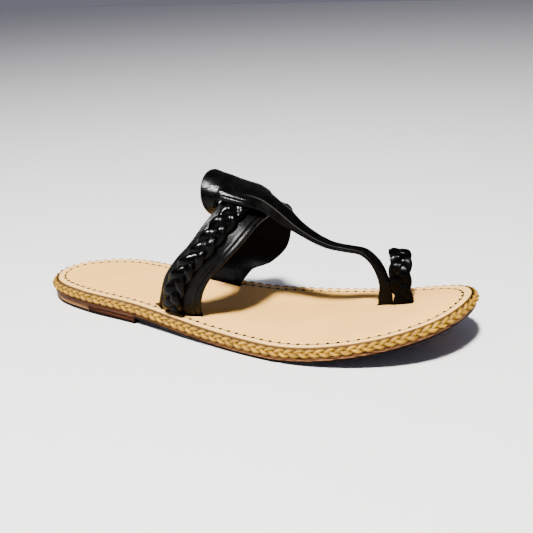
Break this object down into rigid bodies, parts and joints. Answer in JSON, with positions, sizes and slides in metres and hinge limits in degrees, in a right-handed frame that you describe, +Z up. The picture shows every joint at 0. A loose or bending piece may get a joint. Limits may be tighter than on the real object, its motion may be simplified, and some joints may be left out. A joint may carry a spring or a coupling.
{
  "type": "toe post sandal",
  "caption": "Flat leather toe post sandal for the right foot with a plaited instep band, a folded leaf on its toe strap, a plaited big toe loop and a jute-plaited rim.",
  "frame": {"origin": "centre of the sandal's outline in plan, on the floor that it stands on", "axes": "+X from heel to toe, +Y towards the medial side (big toe of a right foot), +Z up"},
  "size_m": [0.2562, 0.0879, 0.0841],
  "materials": {
    "sole_leather": "polished brown edge",
    "heel_tip_leather": "lighter tan, smooth",
    "heel_leather": "dark reddish brown, smooth",
    "tan_leather": "natural vegetable-tanned, matte",
    "jute": "plaited natural straw",
    "black_leather": "smooth, glossy"
  },
  "bodies": {
    "root": {"outsole": "sole_leather", "heel_tip": "heel_tip_leather", "heel_lift": "heel_leather", "insole": "tan_leather", "jute_rim": "jute", "instep_band": "black_leather", "band_plait": "black_leather", "toe_strap": "black_leather", "toe_loop": "black_leather"}
  },
  "joints": []
}
